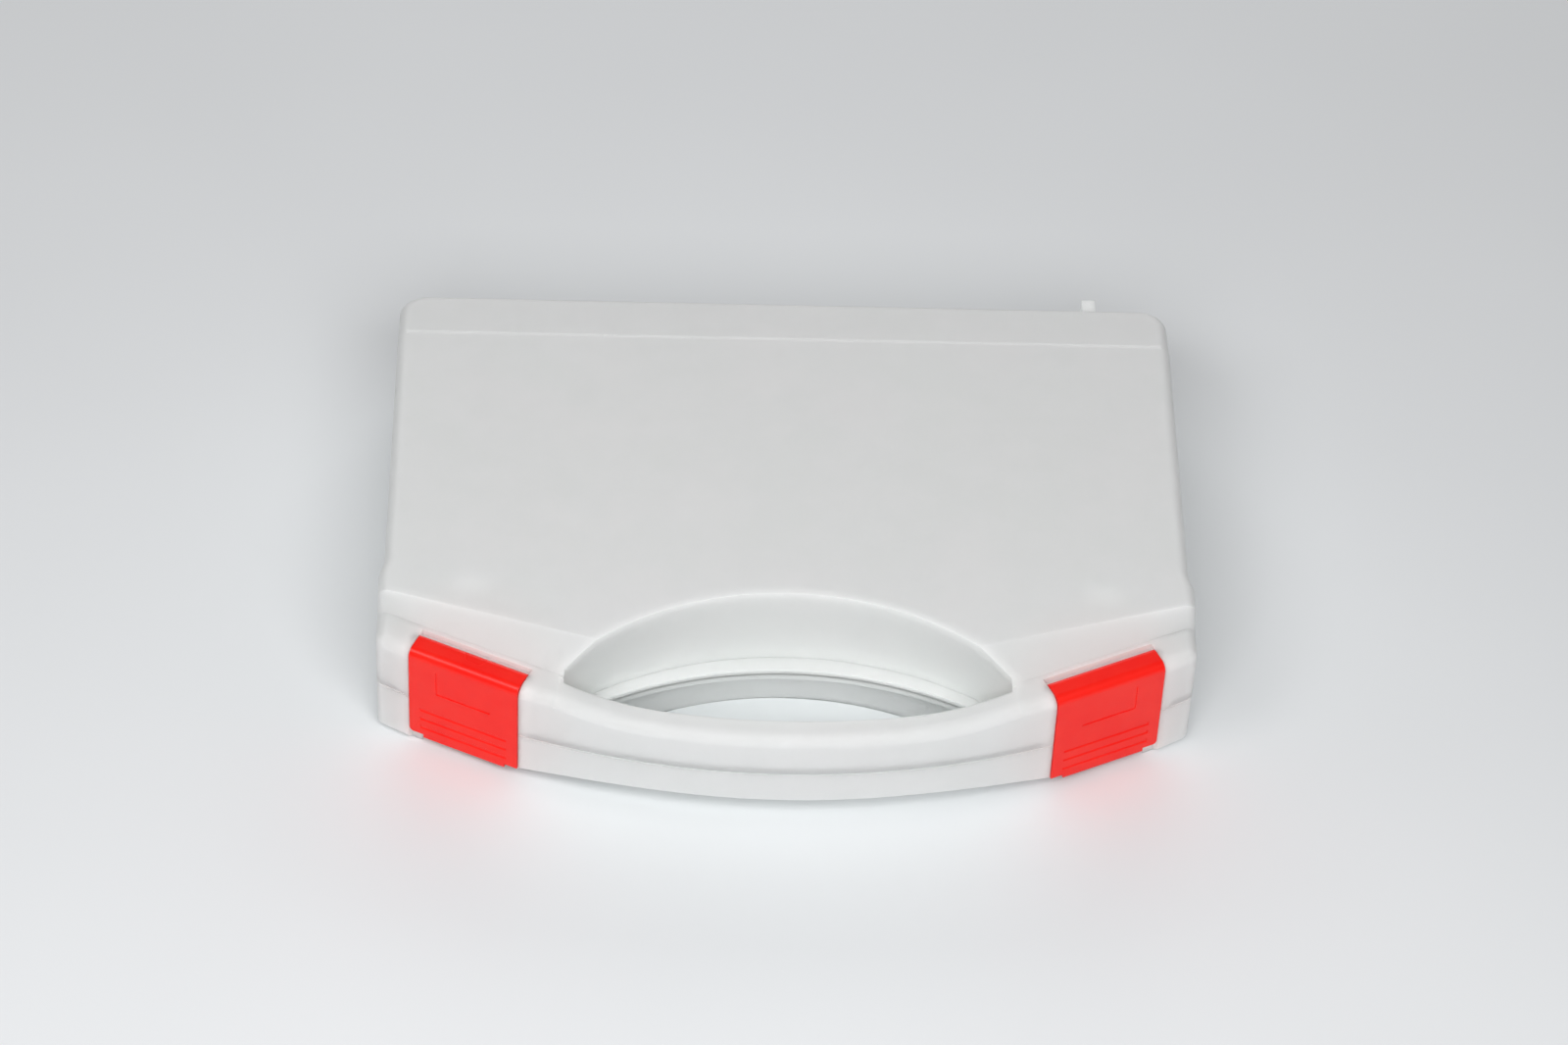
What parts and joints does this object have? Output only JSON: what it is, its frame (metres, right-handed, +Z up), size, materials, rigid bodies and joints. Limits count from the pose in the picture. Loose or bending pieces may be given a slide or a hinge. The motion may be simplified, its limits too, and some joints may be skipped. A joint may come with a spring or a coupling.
{
  "type": "plastic tool case",
  "caption": "Flat clamshell tool case of translucent plastic with a bowed carrying handle at the front, a finger opening behind it and red snap latches on slanted corners.",
  "frame": {"origin": "middle of the shut case's bounding box, on the floor it lies on", "axes": "+X along the case's width, to the right seen from the handle; +Y from the handle to the hinges; +Z up through the lid"},
  "size_m": [0.273, 0.21, 0.05],
  "materials": {
    "natural_polypropylene": "satin, milky translucent",
    "red_polypropylene": "semi-gloss"
  },
  "bodies": {
    "base": {"base_shell": "natural_polypropylene"},
    "lid": {"lid_shell": "natural_polypropylene"},
    "latch_right": {"latch_right": "red_polypropylene"},
    "latch_left": {"latch_left": "red_polypropylene"}
  },
  "joints": [
    {"name": "lid_hinge", "type": "hinge", "parent": "base", "child": "lid", "pos_m": [0, 0.102, 0.022], "axis": [-1, 0, 0], "range_deg": [0, 160]},
    {"name": "latch_right_pivot", "type": "hinge", "parent": "lid", "child": "latch_right", "pos_m": [0.10422, -0.07463, 0.042], "axis": [-0.9063, -0.4226, 0], "range_deg": [0, 100]},
    {"name": "latch_left_pivot", "type": "hinge", "parent": "lid", "child": "latch_left", "pos_m": [-0.10422, -0.07463, 0.042], "axis": [-0.9063, 0.4226, 0], "range_deg": [0, 100]}
  ]
}
